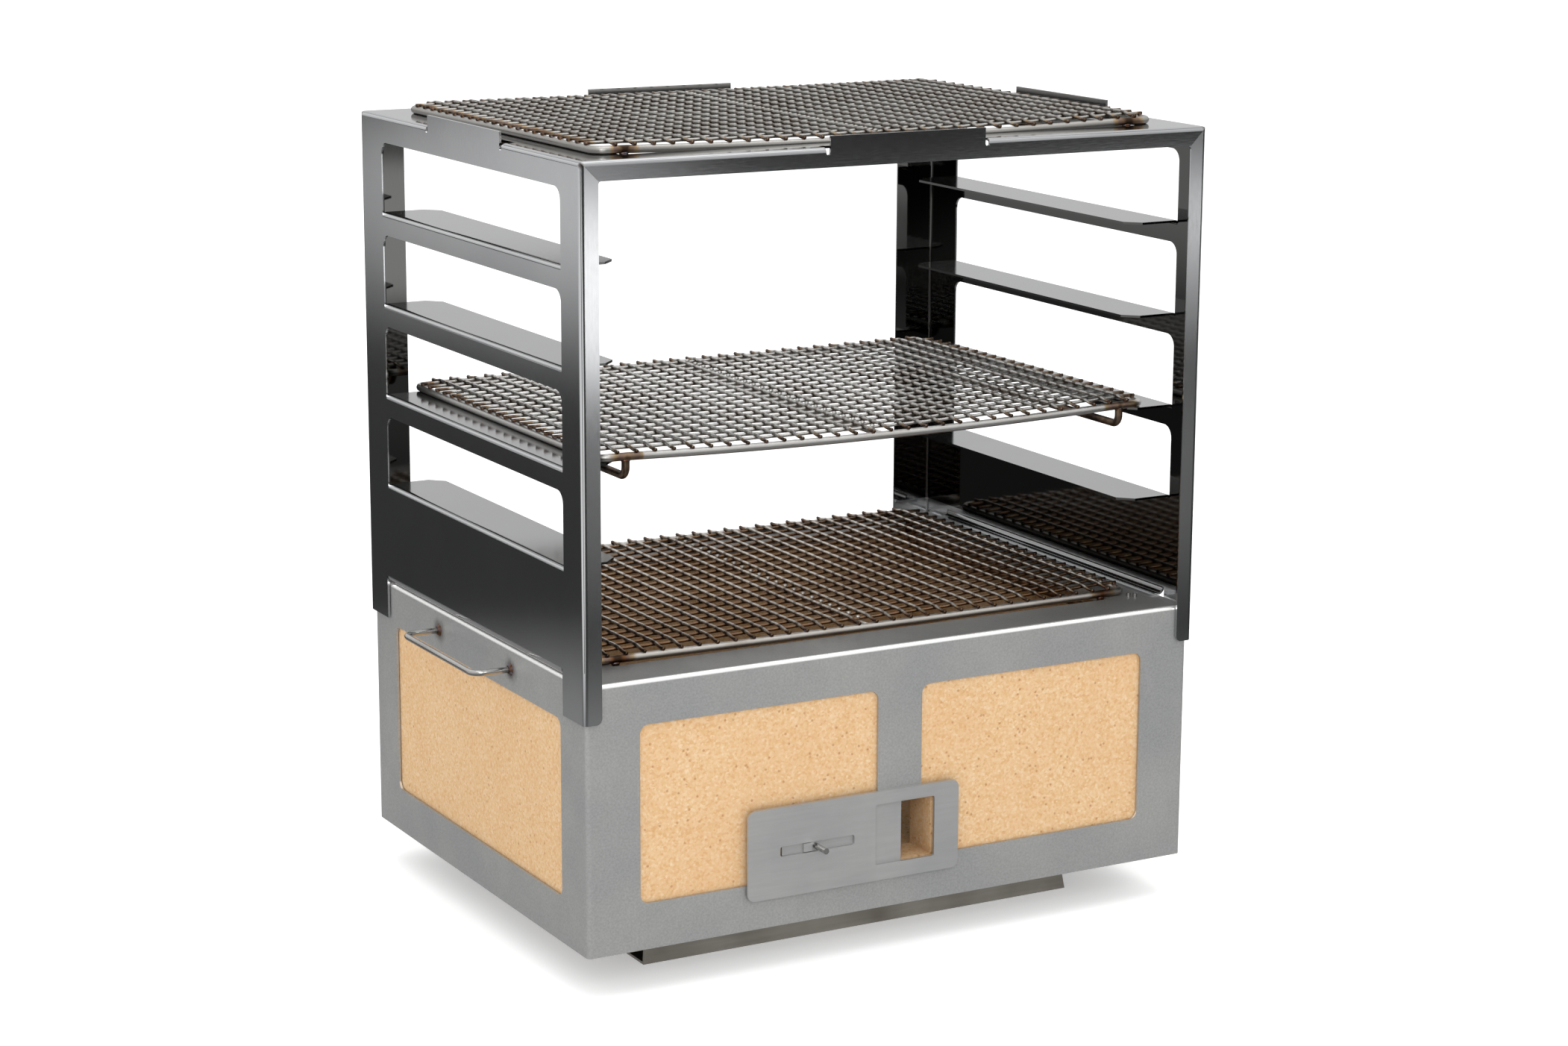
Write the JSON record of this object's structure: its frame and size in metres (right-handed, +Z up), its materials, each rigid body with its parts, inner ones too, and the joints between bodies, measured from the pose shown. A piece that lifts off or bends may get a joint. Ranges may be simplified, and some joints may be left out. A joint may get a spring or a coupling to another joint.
{
  "type": "charcoal table grill with rack",
  "caption": "Folded steel charcoal box with insulating boards, a sliding air vent and rod handles, under a lift-off rack whose ledges and top carry wire nets.",
  "frame": {"origin": "on the table, under the middle of the overall width and depth", "axes": "+X to the right seen from the front, +Y to the back, +Z up; the vent is on the front, at -Y"},
  "size_m": [0.494, 0.3476, 0.5246],
  "materials": {
    "casing_sheet": "fine bead-blasted stainless sheet",
    "base_sheet": "plain rolled stainless sheet",
    "rack_sheet": "bright satin stainless sheet",
    "handle_rod": "bright drawn rod, brown at the welds",
    "net_wire": "drawn stainless wire with a brown heat tint at the welds",
    "grate_steel": "plain dark steel rod",
    "vermiculite_board": "bare pressed vermiculite, tan with dark flecks"
  },
  "bodies": {
    "base": {"casing": "casing_sheet", "casing_floor": "base_sheet", "foot_rail_front": "base_sheet", "foot_rail_back": "base_sheet", "liner_floor": "vermiculite_board", "liner_front": "vermiculite_board", "liner_back": "vermiculite_board", "liner_left": "vermiculite_board", "liner_right": "vermiculite_board", "handle_left": "handle_rod", "handle_right": "handle_rod", "handle_welds": "handle_rod", "net_stop_pins": "casing_sheet", "vent_guides": "casing_sheet", "vent_cover": "casing_sheet"},
    "shutter": {"vent_shutter": "casing_sheet", "vent_pin": "casing_sheet"},
    "charcoal_grate": {"charcoal_grate_frame": "grate_steel", "charcoal_grate_bars": "grate_steel", "charcoal_grate_legs": "grate_steel"},
    "lower_net": {"lower_net_frame": "net_wire", "lower_net_long_wires": "net_wire", "lower_net_cross_wires": "net_wire", "lower_net_runners": "net_wire", "lower_net_stiffener": "net_wire"},
    "rack": {"rack_left_panel": "rack_sheet", "rack_right_panel": "rack_sheet", "rack_top_panel": "rack_sheet"},
    "middle_net": {"middle_net_frame": "net_wire", "middle_net_long_wires": "net_wire", "middle_net_cross_wires": "net_wire", "middle_net_runners": "net_wire", "middle_net_stiffener": "net_wire"},
    "top_net": {"top_net_frame": "net_wire", "top_net_long_wires": "net_wire", "top_net_cross_wires": "net_wire", "top_net_runners": "net_wire", "top_net_stiffener": "net_wire"}
  },
  "joints": [
    {"name": "shutter_slide", "type": "slide", "parent": "base", "child": "shutter", "axis": [1, 0, 0], "range_m": [-0.0165, 0.025]},
    {"name": "grate_lift", "type": "slide", "parent": "base", "child": "charcoal_grate", "axis": [0, 0, 1], "range_m": [0, 0.08]},
    {"name": "lower_net_lift", "type": "slide", "parent": "base", "child": "lower_net", "axis": [0, 0, 1], "range_m": [0, 0.05]},
    {"name": "rack_lift", "type": "slide", "parent": "base", "child": "rack", "axis": [0, 0, 1], "range_m": [0, 0.08]},
    {"name": "middle_net_slide", "type": "slide", "parent": "rack", "child": "middle_net", "axis": [0, -1, 0], "range_m": [0, 0.2]},
    {"name": "top_net_lift", "type": "slide", "parent": "rack", "child": "top_net", "axis": [0, 0, 1], "range_m": [0, 0.06]}
  ]
}
